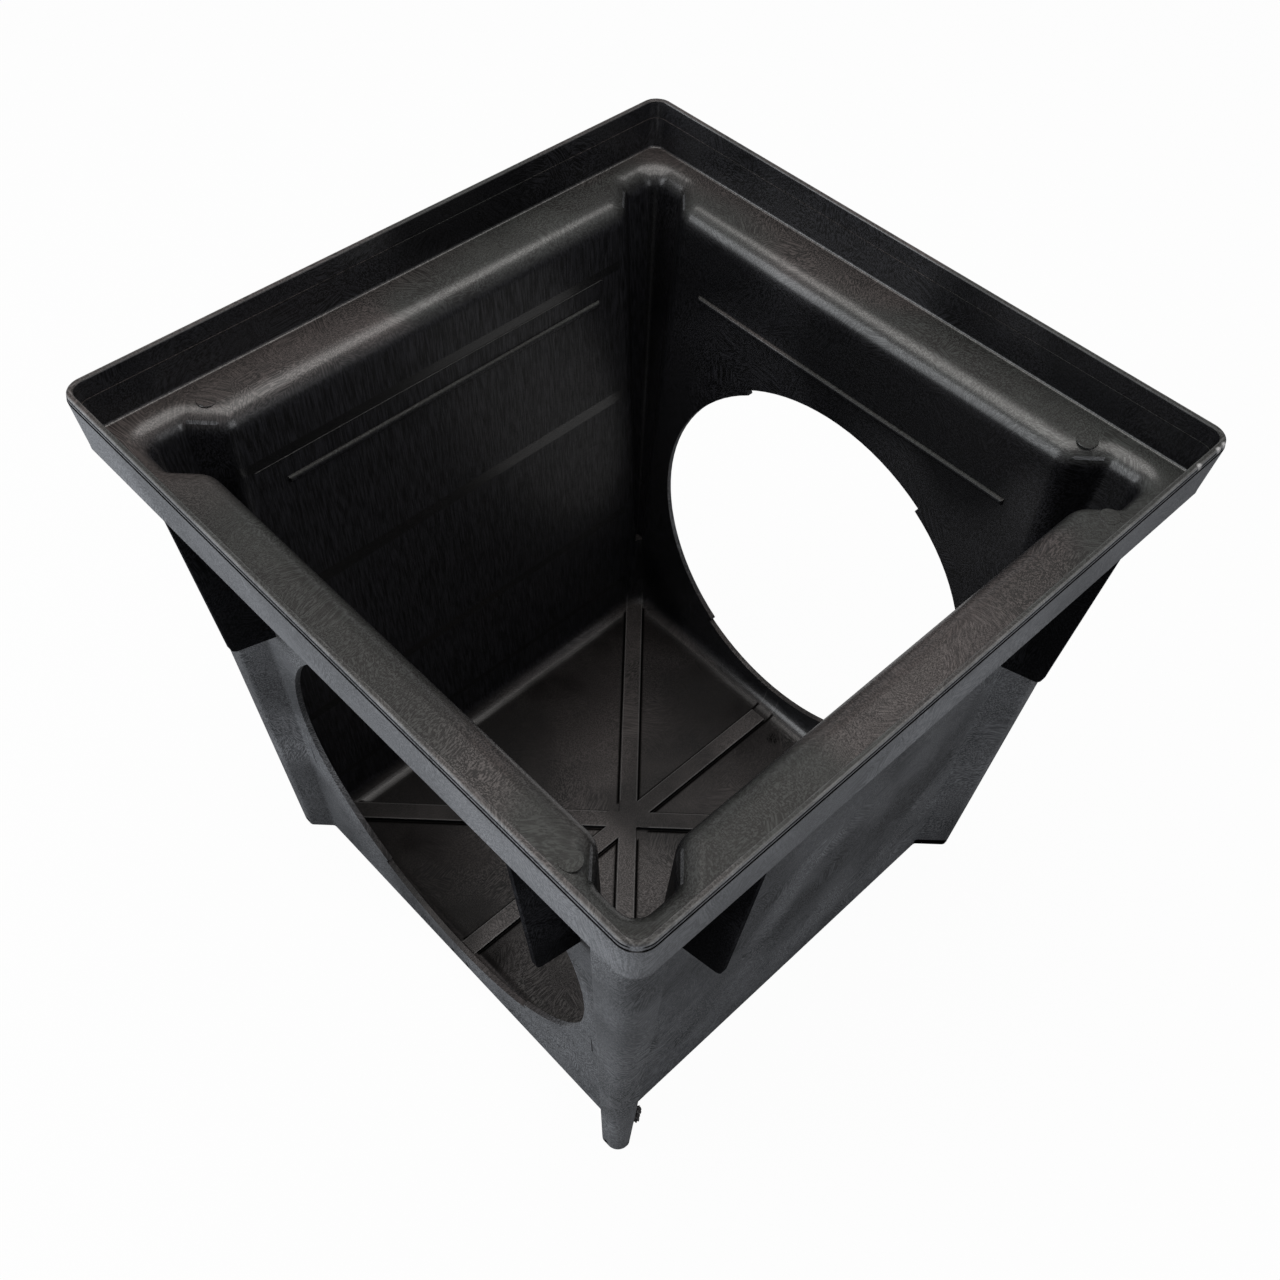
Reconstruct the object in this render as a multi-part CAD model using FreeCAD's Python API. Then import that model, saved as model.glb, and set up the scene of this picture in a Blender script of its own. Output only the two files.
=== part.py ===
"""Square drain catch basin: one moulded shell with a grate seat, corner columns and two pipe openings.

Millimetres, +Z up, the base on z = 0 and the middle of the plan at the origin.  The two pipe openings
face -Y and +Y; the walls facing -X and +X are closed.
"""
import math
import os

import FreeCAD
import Part

V = FreeCAD.Vector

# heights
HEIGHT = 595.0
SEAT_DEPTH = 47.0
FLANGE_T = 6.0
FLOOR_T = 6.0
LEDGE_Z = HEIGHT - SEAT_DEPTH
FLANGE_Z = LEDGE_Z - FLANGE_T

# grate seat and rim: half width of the room for the grate, the rim round it and plan corner radii
SEAT_HALF = 303.6
RIM_SEAT_T = 3.9
RIM_SPREAD = 3.5
RIM_LOW = SEAT_HALF + RIM_SEAT_T
RIM_TOP = RIM_LOW + RIM_SPREAD
RIM_CORNER_R = 17.0
RIM_T = 5.75
RIM_STEP_DROP = 17.0
RIM_STEP = 0.7
RIM_INNER_R = 11.5
LIP_BAND = 6.0
LIP_DRAFT = 0.9
LIP_EDGE = 0.8
FLANGE_BAND = 4.0
FLANGE_EDGE = 1.6
PARTING_DROP = 4.6
PARTING_H = 1.3
PARTING_DEPTH = 0.8

# walls: outer half widths at the seat, one ledge inside it, and at the base, with the draft between them
WALL_T = 6.0
LEDGE_W = 46.9
WALL_DRAFT_X = 30.4
WALL_DRAFT_Y = 25.4
WALL_SEAT = SEAT_HALF - LEDGE_W
WALL_BASE_X = WALL_SEAT - WALL_DRAFT_X
WALL_BASE_Y = WALL_SEAT - WALL_DRAFT_Y

# corner columns: outer face, corner radius and where the slanted side leaves the wall
COLUMN_LEDGE = 21.8
COLUMN_DRAFT = 32.8
COLUMN_SEAT = SEAT_HALF - COLUMN_LEDGE
COLUMN_BASE = COLUMN_SEAT - COLUMN_DRAFT
COLUMN_R_SEAT = 19.0
COLUMN_R_BASE = 12.0
COLUMN_RUN = 43.7
SLANT_DRAFT = 2.0
SLANT_SEAT = WALL_SEAT - COLUMN_RUN
SLANT_BASE = SLANT_SEAT - SLANT_DRAFT
SLANT_INNER_R = 6.0
SLANT_OUTER_R = 6.0
NECK = 9.0

# pockets inside the columns, closing towards the floor
COLUMN_T = 6.3
POCKET_SLANT_T = 2.7
POCKET_SLANT_SEAT = SLANT_SEAT + POCKET_SLANT_T
POCKET_MOUTH_R = 24.5
POCKET_SLANT_R = 7.0
POCKET_END_Z = 105.0
POCKET_MID_Z = 250.0
POCKET_END_DEPTH = 2.8
POCKET_END_T = 10.0
POCKET_END_SLANT = SLANT_SEAT + POCKET_END_T
POCKET_END_R = (1.5, 0.7, 1.5)
MOUTH_R = 22.0
MOUTH_BAND = 24.5
FLOOR_CORNER_R = 21.0
FLOOR_CORNER_TOP_R = 5.0
FLOOR_COVE_R = 20.0
FLOOR_BAND = 22.0

# pipe openings: two radii, the larger one in a sector over and under the middle, and a slit each side
OPENING_SIDE = 31.8
OPENING_R = WALL_BASE_X - OPENING_SIDE
OPENING_NOTCH = 5.5
OPENING_NOTCH_R = OPENING_R + OPENING_NOTCH
OPENING_SILL = 33.0
OPENING_Z = OPENING_NOTCH_R + OPENING_SILL
OPENING_NOTCH_ANGLE = 32.0
SLIT_GAP = 6.6
SLIT_W = 1.2
SLIT_DEPTH = 1.8
SLIT_LOW = 93.0
SLIT_TOP = 28.0
SLIT_LOW_Z = OPENING_Z - SLIT_LOW
SLIT_TOP_Z = OPENING_Z - SLIT_TOP

# stiffening plates under the flange, two on each wall
PLATE_SIDE = 63.2
PLATE_AT = WALL_SEAT - PLATE_SIDE
PLATE_TIP_GAP = 1.0
PLATE_TIP = RIM_LOW - PLATE_TIP_GAP
PLATE_REACH = 32.3
PLATE_LOW_TIP = WALL_SEAT + PLATE_REACH
PLATE_DROP = 172.0
PLATE_CORNER_R = 9.0
PLATE_ROOT_FALL = 14.0
PLATE_BURY = 30.0
PLATE_LOW_BURY = 14.0
PLATE_T_TIP = 4.6
PLATE_T_ROOT = 7.4

# raised lines: floor ribs and wall beads
RIB_W = 19.0
RIB_H = 5.0
RIB_SINK = 1.0
RIB_FRONT_GAP = 11.0
RIB_BACK_GAP = 26.3
RIB_CORNER_GAP = 17.5
BEAD_R = 3.2
BEAD_SINK = 2.0
BEAD_Y_RISE = 34.0
BEAD_Y_Z = OPENING_Z + OPENING_NOTCH_R + BEAD_Y_RISE
BEAD_Y_GAP = 76.7
BEAD_Y_HALF = WALL_SEAT - BEAD_Y_GAP
BEAD_X_Z = 459.0
BEAD_X_GAP = 79.7
BEAD_X_HALF = WALL_SEAT - BEAD_X_GAP


def between(low, high, z, z_low=0.0, z_high=LEDGE_Z):
    """Value at a height on the straight line from low to high."""
    return low + (high - low) * (z - z_low) / (z_high - z_low)


def line(a, b):
    """Straight edge between two points."""
    return Part.LineSegment(a, b).toShape()


def rounded_ring(points, radii):
    """Edges of a closed polygon in plan, side then corner arc, starting on the first side."""
    count = len(points)
    starts = []
    ends = []
    mids = []
    for i in range(count):
        corner = points[i]
        back = (points[i - 1] - corner).normalize()
        ahead = (points[(i + 1) % count] - corner).normalize()
        half = back.getAngle(ahead) / 2.0
        reach = radii[i] / math.tan(half)
        middle = (back + ahead).normalize()
        centre = corner + middle * (radii[i] / math.sin(half))
        starts.append(corner + back * reach)
        ends.append(corner + ahead * reach)
        mids.append(centre - middle * radii[i])
    edges = []
    for i in range(count):
        j = (i + 1) % count
        edges.append(line(ends[i], starts[j]))
        edges.append(Part.Arc(starts[j], mids[j], ends[j]).toShape())
    return edges


def quarter_turns(points):
    """The plan points of one corner (+X +Y, from the +X wall round to the +Y wall) at all four corners."""
    left = [V(-p.x, p.y, p.z) for p in reversed(points)]
    opposite = [V(-p.x, -p.y, p.z) for p in points]
    front = [V(p.x, -p.y, p.z) for p in reversed(points)]
    return points + left + opposite + front


def box_ring(half_x, half_y, radius, z):
    """Edges of a rectangle with rounded corners."""
    corners = [V(half_x, half_y, z), V(-half_x, half_y, z), V(-half_x, -half_y, z), V(half_x, -half_y, z)]
    return rounded_ring(corners, [radius] * 4)


def square_ring(half, radius, z):
    """Edges of a square with rounded corners."""
    return box_ring(half, half, radius, z)


def column_ring(wall_x, wall_y, column, slant, radii, z):
    """Edges of a square whose corners step out into columns with slanted sides.

    radii holds the corner radius where the slant leaves the wall, where it meets the column face, and of
    the column's own corner.
    """
    corner = [
        V(wall_x, slant, z),
        V(column, slant + column - wall_x, z),
        V(column, column, z),
        V(slant + column - wall_y, column, z),
        V(slant, wall_y, z),
    ]
    root, shoulder, nose = radii
    return rounded_ring(quarter_turns(corner), [root, shoulder, nose, shoulder, root] * 4)


def ends_of(edge):
    """First and last point of an edge along its own direction."""
    return edge.valueAt(edge.FirstParameter), edge.valueAt(edge.LastParameter)


def is_line(edge):
    """Whether an edge is straight."""
    return isinstance(edge.Curve, (Part.Line, Part.LineSegment))


def patch(low, high):
    """Face between two edges: flat between straight ones, upright between equal ones, else ruled."""
    a, b = ends_of(low)
    c, d = ends_of(high)
    if is_line(low) and is_line(high):
        return Part.Face(Part.makePolygon([a, b, d, c, a]))
    rise = V(0, 0, c.z - a.z)
    if a + rise == c and b + rise == d:
        return low.extrude(rise)
    return Part.makeRuledSurface(low, high)


def skin(rings):
    """Solid through a stack of rings, lowest first, that have the same number of edges."""
    floor = Part.Face(Part.Wire(rings[0]))
    floor.reverse()
    faces = [floor]
    for low, high in zip(rings[:-1], rings[1:]):
        faces.extend(patch(a, b) for a, b in zip(low, high))
    faces.append(Part.Face(Part.Wire(rings[-1])))
    shell = Part.makeShell(faces)
    shell.sewShape()
    return Part.makeSolid(shell)


def loop_edges(shape, z, inside):
    """Edges lying in a level plane and within a half width."""
    found = []
    for edge in shape.Edges:
        box = edge.BoundBox
        level = abs(box.ZMin - z) < 1e-3 and abs(box.ZMax - z) < 1e-3
        reach = max(abs(box.XMin), abs(box.XMax), abs(box.YMin), abs(box.YMax))
        if level and reach < inside:
            found.append(edge)
    return found


def wall_half(base, z, inner):
    """Half width of a wall face at a height."""
    return between(base, WALL_SEAT, z) - (WALL_T if inner else 0.0)


def outer_ring(z, grow=0.0):
    """Outside of the walls and columns at a height, or a ring round it at a distance."""
    radii = (SLANT_INNER_R, SLANT_OUTER_R + grow, between(COLUMN_R_BASE, COLUMN_R_SEAT, z) + grow)
    return column_ring(
        wall_half(WALL_BASE_X, z, False) + grow,
        wall_half(WALL_BASE_Y, z, False) + grow,
        between(COLUMN_BASE, COLUMN_SEAT, z) + grow,
        between(SLANT_BASE, SLANT_SEAT, z) - grow * math.tan(math.radians(22.5)),
        radii,
        z,
    )


def make_rim():
    """Flange and rim with the room for the grate, its soft lip and the fine line round the outside."""
    block = skin([
        square_ring(RIM_LOW, RIM_CORNER_R, FLANGE_Z),
        square_ring(RIM_LOW, RIM_CORNER_R, FLANGE_Z + FLANGE_BAND),
        square_ring(RIM_TOP, RIM_CORNER_R, HEIGHT - LIP_BAND),
        square_ring(RIM_TOP - LIP_DRAFT, RIM_CORNER_R, HEIGHT),
    ])
    block = block.makeChamfer(FLANGE_EDGE, loop_edges(block, FLANGE_Z, RIM_TOP + 1.0))
    step_z = HEIGHT - RIM_STEP_DROP
    band_z = HEIGHT - LIP_BAND
    top_half = RIM_TOP - RIM_T
    step_half = between(SEAT_HALF, top_half - RIM_STEP, step_z, LEDGE_Z, band_z)
    seat = skin([
        square_ring(SEAT_HALF, RIM_INNER_R, LEDGE_Z),
        square_ring(step_half, RIM_INNER_R, step_z),
    ])
    upper = skin([
        square_ring(step_half + RIM_STEP, RIM_INNER_R, step_z),
        square_ring(top_half, RIM_INNER_R, band_z),
        square_ring(top_half, RIM_INNER_R, HEIGHT),
    ])
    rim = block.cut([seat, upper])
    rim = rim.makeChamfer(LIP_EDGE, loop_edges(rim, HEIGHT, RIM_TOP + 1.0))
    return rim.cut(make_parting_groove())


def make_outside():
    """Walls, columns, their neck under the flange, rim and plates as one block, full below the seat."""
    body = skin([outer_ring(0.0), outer_ring(FLANGE_Z - NECK), outer_ring(FLANGE_Z, NECK)])
    return body.fuse([make_rim()] + make_plates())


def make_plates():
    """Eight stiffening plates, thinner towards their tips."""
    top = LEDGE_Z - FLANGE_T / 2.0
    root = WALL_SEAT - PLATE_BURY
    low = FLANGE_Z - PLATE_DROP
    fall = PLATE_ROOT_FALL * (PLATE_LOW_TIP - root) / (PLATE_LOW_TIP - WALL_SEAT + PLATE_LOW_BURY)
    outline = [V(root, 0, top), V(PLATE_TIP, 0, top), V(PLATE_LOW_TIP, 0, low), V(root, 0, low - fall)]
    edge_in = (outline[1] - outline[2]).normalize()
    edge_out = (outline[3] - outline[2]).normalize()
    half = edge_in.getAngle(edge_out) / 2.0
    reach = PLATE_CORNER_R / math.tan(half)
    middle = (edge_in + edge_out).normalize()
    nose = outline[2] + middle * (PLATE_CORNER_R / math.sin(half) - PLATE_CORNER_R)
    before = outline[2] + edge_in * reach
    after = outline[2] + edge_out * reach
    wire = Part.Wire([
        line(outline[0], outline[1]),
        line(outline[1], before),
        Part.Arc(before, nose, after).toShape(),
        line(after, outline[3]),
        line(outline[3], outline[0]),
    ])
    sheet = Part.Face(wire)
    sheet.translate(V(0, -PLATE_T_ROOT, 0))
    slab = sheet.extrude(V(0, 2.0 * PLATE_T_ROOT, 0))
    wedge = Part.Face(Part.makePolygon([
        V(root, -PLATE_T_ROOT / 2.0, 0),
        V(PLATE_TIP, -PLATE_T_TIP / 2.0, 0),
        V(PLATE_TIP, PLATE_T_TIP / 2.0, 0),
        V(root, PLATE_T_ROOT / 2.0, 0),
        V(root, -PLATE_T_ROOT / 2.0, 0),
    ])).extrude(V(0, 0, HEIGHT))
    plate = slab.common(wedge)
    plates = []
    for turn in range(4):
        for side in (-1, 1):
            copy = plate.copy()
            copy.translate(V(0, side * PLATE_AT, 0))
            copy.rotate(V(0, 0, 0), V(0, 0, 1), 90.0 * turn)
            plates.append(copy)
    return plates


def water_box(z, radius, at):
    """Plain inside of the walls with rounded corners: the plan of one height, placed at another."""
    return box_ring(wall_half(WALL_BASE_X, z, True), wall_half(WALL_BASE_Y, z, True), radius, at)


def pocket_ring(z, at):
    """Inside of the walls and of the column pockets: the plan of one height, placed at another."""
    mouth_z = LEDGE_Z - MOUTH_BAND
    mouth_column = between(COLUMN_BASE, COLUMN_SEAT, mouth_z) - COLUMN_T
    mouth_radii = (POCKET_MOUTH_R, POCKET_SLANT_R, COLUMN_R_SEAT - COLUMN_T)
    end_column = wall_half(WALL_BASE_Y, POCKET_END_Z, True) + POCKET_END_DEPTH
    radii = [between(a, b, z, POCKET_END_Z, mouth_z) for a, b in zip(POCKET_END_R, mouth_radii)]
    return column_ring(
        wall_half(WALL_BASE_X, z, True),
        wall_half(WALL_BASE_Y, z, True),
        between(end_column, mouth_column, z, POCKET_END_Z, mouth_z),
        between(POCKET_END_SLANT, POCKET_SLANT_SEAT, z, POCKET_END_Z, mouth_z),
        radii,
        at,
    )


def make_inside():
    """Room below the seat: pockets and water, with the soft edge of the seat and the floor cove."""
    mouth_z = LEDGE_Z - MOUTH_BAND
    pockets = skin([
        pocket_ring(POCKET_END_Z, POCKET_END_Z),
        pocket_ring(POCKET_MID_Z, POCKET_MID_Z),
        pocket_ring(mouth_z, mouth_z),
        pocket_ring(mouth_z, LEDGE_Z),
    ])
    lid = skin([
        square_ring(SEAT_HALF, RIM_INNER_R, LEDGE_Z),
        square_ring(SEAT_HALF, RIM_INNER_R, LEDGE_Z + FLANGE_T),
    ])
    pockets = pockets.fuse(lid)
    pockets = pockets.makeFillet(MOUTH_R, loop_edges(pockets, LEDGE_Z, SEAT_HALF - MOUTH_R))
    cove_z = FLOOR_T + FLOOR_BAND
    water = skin([
        water_box(cove_z, FLOOR_CORNER_R, FLOOR_T),
        water_box(cove_z, FLOOR_CORNER_R, cove_z),
        water_box(POCKET_END_Z, FLOOR_CORNER_TOP_R, POCKET_END_Z),
    ])
    water = water.makeFillet(FLOOR_COVE_R, loop_edges(water, FLOOR_T, SEAT_HALF))
    return [pockets, water]


def make_openings():
    """The pipe openings of both walls as one tool."""
    length = 2.0 * WALL_SEAT
    start = V(0, -WALL_SEAT, OPENING_Z)
    tool = Part.makeCylinder(OPENING_R, length, start, V(0, 1, 0))
    parts = []
    for turn in (0.0, 180.0):
        spread = math.radians(OPENING_NOTCH_ANGLE)
        a = V(OPENING_NOTCH_R * math.sin(spread), 0, OPENING_NOTCH_R * math.cos(spread))
        b = V(0, 0, OPENING_NOTCH_R)
        c = V(-a.x, 0, a.z)
        wire = Part.Wire([line(V(0, 0, 0), a), Part.Arc(a, b, c).toShape(), line(c, V(0, 0, 0))])
        sector = Part.Face(wire).extrude(V(0, length, 0))
        sector.rotate(V(0, 0, 0), V(0, 1, 0), turn)
        sector.translate(start)
        parts.append(sector)
    return tool.fuse(parts).removeSplitter()


def make_parting_groove():
    """Fine line round the outside of the rim, just under its top edge."""
    top = HEIGHT - PARTING_DROP
    low = top - PARTING_H
    clear = RIM_TOP + 4.0
    inner = RIM_TOP - PARTING_DEPTH
    inner_r = RIM_CORNER_R - PARTING_DEPTH
    ring = skin([square_ring(clear, RIM_CORNER_R, low), square_ring(clear, RIM_CORNER_R, top)])
    core = skin([square_ring(inner, inner_r, low), square_ring(inner, inner_r, top)])
    return ring.cut(core)


def make_slits():
    """Fine upright cuts outside the walls, one at each side of a pipe opening, running out upwards."""
    at = OPENING_R + SLIT_GAP
    bottom = V(0, -wall_half(WALL_BASE_Y, SLIT_LOW_Z, False) + SLIT_DEPTH, SLIT_LOW_Z)
    clear = -wall_half(WALL_BASE_Y, SLIT_TOP_Z, False) - SLIT_DEPTH
    sheet = Part.Face(Part.makePolygon([bottom, V(0, clear, SLIT_LOW_Z), V(0, clear, SLIT_TOP_Z), bottom]))
    slits = []
    for turn in (0.0, 180.0):
        for side in (-1, 1):
            slit = sheet.extrude(V(SLIT_W, 0, 0))
            slit.translate(V(side * at - SLIT_W / 2.0, 0, 0))
            slit.rotate(V(0, 0, 0), V(0, 0, 1), turn)
            slits.append(slit)
    return slits


def make_ribs():
    """Star of low ribs on the floor: four to the corners and two towards the openings."""
    front = WALL_BASE_Y - RIB_FRONT_GAP
    back = WALL_BASE_Y - RIB_BACK_GAP
    corner = math.sqrt(2.0) * WALL_BASE_X - RIB_CORNER_GAP
    bars = []
    for low, high, turn in ((front, back, 0.0), (corner, corner, 45.0), (corner, corner, -45.0)):
        bar = Part.makeBox(RIB_W, low + high, RIB_H + RIB_SINK, V(-RIB_W / 2.0, -low, FLOOR_T - RIB_SINK))
        bar.rotate(V(0, 0, 0), V(0, 0, 1), turn)
        bars.append(bar)
    return bars


def oblong_ring(half_length, half_width, z):
    """Edges of a plain rectangle along X."""
    corners = [V(half_length, half_width, z), V(-half_length, half_width, z)]
    corners += [V(-half_length, -half_width, z), V(half_length, -half_width, z)]
    return [line(a, b) for a, b in zip(corners, corners[1:] + corners[:1])]


def make_bead(half_length):
    """Raised line along X, standing up in Z, with sloping sides and ends."""
    return skin([
        oblong_ring(half_length, BEAD_R, -BEAD_SINK),
        oblong_ring(half_length, BEAD_R, 0.3 * BEAD_R),
        oblong_ring(half_length - 0.3 * BEAD_R, 0.7 * BEAD_R, 0.8 * BEAD_R),
        oblong_ring(half_length - 0.7 * BEAD_R, 0.3 * BEAD_R, BEAD_R),
    ])


def make_beads():
    """One raised line across the inside of each wall."""
    beads = []
    rows = ((BEAD_X_Z, BEAD_X_HALF, WALL_BASE_X, 90.0), (BEAD_Y_Z, BEAD_Y_HALF, WALL_BASE_Y, 0.0))
    for z, half_length, base, turn in rows:
        for side in (0.0, 180.0):
            bead = make_bead(half_length)
            bead.rotate(V(0, 0, 0), V(1, 0, 0), 90.0)
            bead.translate(V(0, wall_half(base, z, True), z))
            bead.rotate(V(0, 0, 0), V(0, 0, 1), turn + side)
            beads.append(bead)
    return beads


def make_basin():
    """The whole moulded shell."""
    shell = make_outside().cut(make_inside())
    shell = shell.fuse(make_ribs() + make_beads())
    return shell.cut([make_openings()] + make_slits())


basin = make_basin().Solids[0]
os.makedirs("parts", exist_ok=True)
basin.exportStep("parts/basin.step")
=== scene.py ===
"""Looks of a square moulded drain catch basin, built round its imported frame.

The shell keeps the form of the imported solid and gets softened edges.  The round pin marks on the grate seat,
the small cove round it, the mould line across one inner wall and the torn stub at one foot are small pieces
of their own.  One foamed plastic finish dresses them all.
"""

import logging
import math
from dataclasses import dataclass, field
from enum import Enum
from functools import reduce
from typing import Any, Iterable, Optional, Union

import bmesh
import bpy
from mathutils import Matrix, Vector, noise


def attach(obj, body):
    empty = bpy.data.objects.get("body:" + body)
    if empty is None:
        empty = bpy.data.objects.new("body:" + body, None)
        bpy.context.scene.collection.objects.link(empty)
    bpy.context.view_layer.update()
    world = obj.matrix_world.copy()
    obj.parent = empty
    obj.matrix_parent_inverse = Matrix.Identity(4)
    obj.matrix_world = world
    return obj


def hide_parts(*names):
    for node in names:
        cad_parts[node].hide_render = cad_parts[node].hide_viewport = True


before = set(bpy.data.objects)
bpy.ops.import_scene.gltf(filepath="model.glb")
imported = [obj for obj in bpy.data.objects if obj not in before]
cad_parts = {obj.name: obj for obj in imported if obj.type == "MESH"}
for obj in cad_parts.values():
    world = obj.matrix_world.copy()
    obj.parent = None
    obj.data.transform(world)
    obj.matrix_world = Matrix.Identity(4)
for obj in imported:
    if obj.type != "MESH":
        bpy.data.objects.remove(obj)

log = logging.getLogger("catch_basin")

Colour = tuple[float, float, float]
Point = tuple[float, float, float]
Ramp = tuple[float, float]
Band = tuple[float, float, float]
Number = Union["Signal", float]

BODY = "root"
SHELL_NODE = "basin"
SIDE_LAYER = "outside"


class Side(Enum):
    """Which side of the moulding a face belongs to, with the value that its mesh carries."""

    INSIDE = 0.0
    PLATE = 0.5
    OUTSIDE = 1.0


@dataclass(frozen=True)
class BasinSizes:
    """Sizes of the moulding that the looks refer to, in metres."""

    height: float = 0.595
    ledge_z: float = 0.548
    flange_z: float = 0.542
    floor_z: float = 0.006
    rim_half: float = 0.311
    rim_inner: float = 0.30525
    wall_seat: float = 0.2567
    wall_base: float = 0.2288
    wall_t: float = 0.006
    rib_w: float = 0.019
    rib_z: float = 0.011
    plate_at: float = 0.1935
    plate_low: float = 0.355
    pocket_base: float = 0.008
    pocket_seat: float = 0.028

    def wall(self, z: float) -> float:
        """Outer half width of the walls at a height."""
        return self.wall_base + (self.wall_seat - self.wall_base) * z / self.ledge_z

    def pocket(self, z: float) -> float:
        """Half width across a corner pocket at a height."""
        return self.pocket_base + (self.pocket_seat - self.pocket_base) * z / self.ledge_z


SIZES = BasinSizes()


class Signal:
    """One value of a shader tree, with the arithmetic that Python gives numbers."""

    def __init__(self, shader: "Shader", socket: bpy.types.NodeSocket) -> None:
        """Keep the tree and the socket that carries the value."""
        self.shader = shader
        self.socket = socket

    def _pair(self, operation: str, first: Number, second: Number) -> "Signal":
        """Add a Math node for two values."""
        made = self.shader.node("ShaderNodeMath", {"operation": operation}, {0: first, 1: second})
        return Signal(self.shader, made.outputs[0])

    def __add__(self, other: Number) -> "Signal":
        """Sum."""
        return self._pair("ADD", self, other)

    def __radd__(self, other: float) -> "Signal":
        """Sum with a number in front."""
        return self._pair("ADD", other, self)

    def __sub__(self, other: Number) -> "Signal":
        """Difference."""
        return self._pair("SUBTRACT", self, other)

    def __rsub__(self, other: float) -> "Signal":
        """Difference from a number."""
        return self._pair("SUBTRACT", other, self)

    def __mul__(self, other: Number) -> "Signal":
        """Product."""
        return self._pair("MULTIPLY", self, other)

    def __rmul__(self, other: float) -> "Signal":
        """Product with a number in front."""
        return self._pair("MULTIPLY", other, self)

    def __abs__(self) -> "Signal":
        """Size without sign."""
        return self._pair("ABSOLUTE", self, 0.0)

    def larger(self, other: Number) -> "Signal":
        """The larger of two values."""
        return self._pair("MAXIMUM", self, other)

    def smaller(self, other: Number) -> "Signal":
        """The smaller of two values."""
        return self._pair("MINIMUM", self, other)

    def rise(self, low: float, high: float) -> "Signal":
        """Soft step.

        Args:
            low: value at which the result is 0.
            high: value at which the result is 1; below low, the step falls.

        Returns:
            A value from 0 to 1.
        """
        start, end, flip = (low, high, False) if low < high else (high, low, True)
        made = self.shader.node(
            "ShaderNodeMapRange",
            {"interpolation_type": "SMOOTHSTEP", "clamp": True},
            {"Value": self, "From Min": start, "From Max": end},
        )
        step = Signal(self.shader, made.outputs["Result"])
        return 1.0 - step if flip else step

    def near(self, centre: float, reach: float) -> "Signal":
        """Soft hump that is 1 at a value and 0 further off than its reach."""
        return abs(self - centre).rise(reach, 0.0)

    def band(self, low: float, high: float, soft: float) -> "Signal":
        """1 between two values, with soft ends."""
        return self.rise(low - soft, low + soft) * self.rise(high + soft, high - soft)


class Shader:
    """A node tree of one material or of the world."""

    def __init__(self, tree: bpy.types.NodeTree) -> None:
        """Start from an empty tree."""
        self.tree = tree
        tree.nodes.clear()

    def node(
        self,
        kind: str,
        settings: Optional[dict[str, Any]] = None,
        sockets: Optional[dict[Union[str, int], Any]] = None,
    ) -> bpy.types.Node:
        """Add any node.

        Args:
            kind: the node's type.
            settings: its own settings, set first.
            sockets: values or signals of its inputs, by name or by place.

        Returns:
            The new node.
        """
        made = self.tree.nodes.new(kind)
        for name, value in (settings or {}).items():
            setattr(made, name, value)
        for key, value in (sockets or {}).items():
            if isinstance(value, Signal):
                self.tree.links.new(value.socket, made.inputs[key])
            else:
                made.inputs[key].default_value = value
        return made

    def out(self, made: bpy.types.Node, key: Union[str, int] = 0) -> Signal:
        """One output of a node as a value."""
        return Signal(self, made.outputs[key])

    def place(self) -> Signal:
        """Object coordinates of the surface, in metres."""
        return self.out(self.node("ShaderNodeTexCoord"), "Object")

    def attribute(self, name: str) -> Signal:
        """A value that the mesh carries."""
        return self.out(self.node("ShaderNodeAttribute", {"attribute_name": name}), "Fac")

    def distance(self, vector: Signal, point: Point) -> Signal:
        """Distance of a place from a point."""
        made = self.node("ShaderNodeVectorMath", {"operation": "DISTANCE"}, {0: vector, 1: point})
        return self.out(made, "Value")

    def parts(self, vector: Signal) -> tuple[Signal, Signal, Signal]:
        """The three parts of a vector."""
        split = self.node("ShaderNodeSeparateXYZ", None, {0: vector})
        return self.out(split, 0), self.out(split, 1), self.out(split, 2)

    def vector(self, operation: str, first: Any, second: Any) -> Signal:
        """Vector arithmetic on two vectors."""
        made = self.node("ShaderNodeVectorMath", {"operation": operation}, {0: first, 1: second})
        return self.out(made)

    def scaled(self, vector: Signal, factor: Number) -> Signal:
        """A vector times a number."""
        made = self.node("ShaderNodeVectorMath", {"operation": "SCALE"}, {0: vector, "Scale": factor})
        return self.out(made)

    def noise(self, where: Signal, scale: float, detail: float = 2.0, rough: float = 0.5) -> Signal:
        """Soft noise.

        Args:
            where: coordinates to read.
            scale: bumps per metre.
            detail: finer octaves.
            rough: weight of the finer octaves.

        Returns:
            A value round one half.
        """
        sockets = {"Vector": where, "Scale": scale, "Detail": detail, "Roughness": rough}
        return self.out(self.node("ShaderNodeTexNoise", {"noise_dimensions": "3D"}, sockets), 0)

    def noise_vector(self, where: Signal, scale: float, reach: float) -> Signal:
        """A wandering offset of up to about half the reach each way."""
        sockets = {"Vector": where, "Scale": scale, "Detail": 1.0}
        colour = self.out(self.node("ShaderNodeTexNoise", {"noise_dimensions": "3D"}, sockets), 1)
        centred = self.vector("SUBTRACT", colour, (0.5, 0.5, 0.5))
        return self.scaled(centred, reach)

    def mix(self, share: Number, first: Any, second: Any) -> Signal:
        """Lay one colour over another.

        Args:
            share: how much of the second colour shows.
            first: colour below.
            second: colour on top.

        Returns:
            The resulting colour.
        """
        settings = {"data_type": "RGBA", "blend_type": "MIX", "clamp_factor": True}
        made = self.node("ShaderNodeMix", settings, {0: share, 6: rgba(first), 7: rgba(second)})
        return self.out(made, 2)


def rgba(colour: Any) -> Any:
    """A colour with its alpha, or the signal that carries one."""
    return colour if isinstance(colour, Signal) else (*colour, 1.0)


def largest(signals: Iterable[Signal]) -> Signal:
    """The largest of several values."""
    return reduce(Signal.larger, signals)


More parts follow.
